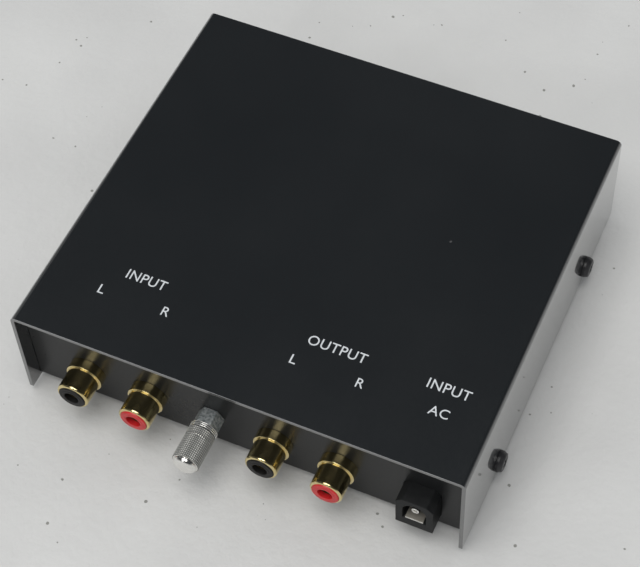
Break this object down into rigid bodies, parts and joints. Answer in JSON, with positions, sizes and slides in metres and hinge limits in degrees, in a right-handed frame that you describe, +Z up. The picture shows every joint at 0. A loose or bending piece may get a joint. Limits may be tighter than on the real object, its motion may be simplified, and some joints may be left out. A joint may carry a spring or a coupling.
{
  "type": "phono preamp",
  "caption": "Small black steel phono preamp with gold phono sockets, a knurled ground terminal and a low-voltage inlet on its socket panel.",
  "frame": {"origin": "centre of the bounding box, on the plane that the rubber feet stand on", "axes": "+X to the right along the socket panel, +Y from the sockets to the back, +Z up"},
  "size_m": [0.1196, 0.1186, 0.032],
  "materials": {
    "case_paint": "semi-gloss black paint on folded sheet steel",
    "screw_black": "blackened steel screws",
    "foot_rubber": "black rubber",
    "gold_plate": "gold-plated brass",
    "black_insulator": "black moulded insulator",
    "red_insulator": "red moulded insulator",
    "contact_gold": "gold-plated contact spring",
    "plated_brass": "tin-plated brass nut and tag",
    "zinc_steel": "zinc-plated steel",
    "nickel_knurl": "nickel-plated knurled brass",
    "nickel": "bright nickel",
    "inlet_plastic": "black moulded nylon",
    "board_laminate": "green glass-epoxy board",
    "standoff_brass": "brass standoff",
    "chip_plastic": "black moulded chip",
    "capacitor_sleeve": "blue shrink sleeve",
    "film_coating": "red dipped film capacitor",
    "resistor_coating": "blue lacquered resistor",
    "diode_plastic": "black moulded diode",
    "regulator_plastic": "black regulator with a tinned tab",
    "header_plastic": "black pin header",
    "jumper_plastic": "blue jumper shunt",
    "wire_sleeve": "white lead sleeve"
  },
  "bodies": {
    "root": {"top_cover": "case_paint", "chassis_tray": "case_paint", "cover_screws": "screw_black", "rubber_feet": "foot_rubber", "input_left_shell": "gold_plate", "input_left_insulator": "black_insulator", "input_left_contact": "contact_gold", "input_left_ground_tag": "plated_brass", "input_left_lock_nut": "plated_brass", "input_left_lead": "wire_sleeve", "input_right_shell": "gold_plate", "input_right_insulator": "red_insulator", "input_right_contact": "contact_gold", "input_right_ground_tag": "plated_brass", "input_right_lock_nut": "plated_brass", "input_right_lead": "wire_sleeve", "output_left_shell": "gold_plate", "output_left_insulator": "black_insulator", "output_left_contact": "contact_gold", "output_left_ground_tag": "plated_brass", "output_left_lock_nut": "plated_brass", "output_left_lead": "wire_sleeve", "output_right_shell": "gold_plate", "output_right_insulator": "red_insulator", "output_right_contact": "contact_gold", "output_right_ground_tag": "plated_brass", "output_right_lock_nut": "plated_brass", "output_right_lead": "wire_sleeve", "ground_stud": "zinc_steel", "ground_collar_nut": "zinc_steel", "ground_lug": "plated_brass", "ground_inner_nut": "zinc_steel", "inlet_housing": "inlet_plastic", "inlet_pin": "nickel", "inlet_leaf": "nickel", "circuit_board": "board_laminate", "board_standoffs": "standoff_brass", "board_screws": "zinc_steel", "left_chip_socket": "header_plastic", "left_amplifier_chip": "chip_plastic", "right_chip_socket": "header_plastic", "right_amplifier_chip": "chip_plastic", "coupling_capacitors": "capacitor_sleeve", "reservoir_capacitors": "capacitor_sleeve", "film_capacitors": "film_coating", "resistors": "resistor_coating", "rectifier_diodes": "diode_plastic", "voltage_regulators": "regulator_plastic", "gain_headers": "header_plastic"},
    "ground_washers": {"ground_washers": "nickel"},
    "ground_thumb_nut": {"ground_thumb_nut": "nickel_knurl"},
    "left_gain_jumper": {"left_gain_jumper": "jumper_plastic"},
    "right_gain_jumper": {"right_gain_jumper": "jumper_plastic"}
  },
  "joints": [
    {"name": "ground_washers_slide", "type": "slide", "parent": "root", "child": "ground_washers", "axis": [0, -1, 0], "range_m": [0, 0.0042]},
    {"name": "ground_thumb_nut_turn", "type": "hinge", "parent": "ground_washers", "child": "ground_thumb_nut", "pos_m": [-0.00827, -0.05371, 0.0135], "axis": [0, -1, 0], "range_deg": [0, 2160]},
    {"name": "left_gain_jumper_pull", "type": "slide", "parent": "root", "child": "left_gain_jumper", "axis": [0, 0, 1], "range_m": [0, 0.007]},
    {"name": "right_gain_jumper_pull", "type": "slide", "parent": "root", "child": "right_gain_jumper", "axis": [0, 0, 1], "range_m": [0, 0.007]}
  ],
  "couplings": [
    {"joint": "ground_thumb_nut_turn", "follows": "ground_washers_slide", "rad_per_m": 8976}
  ]
}
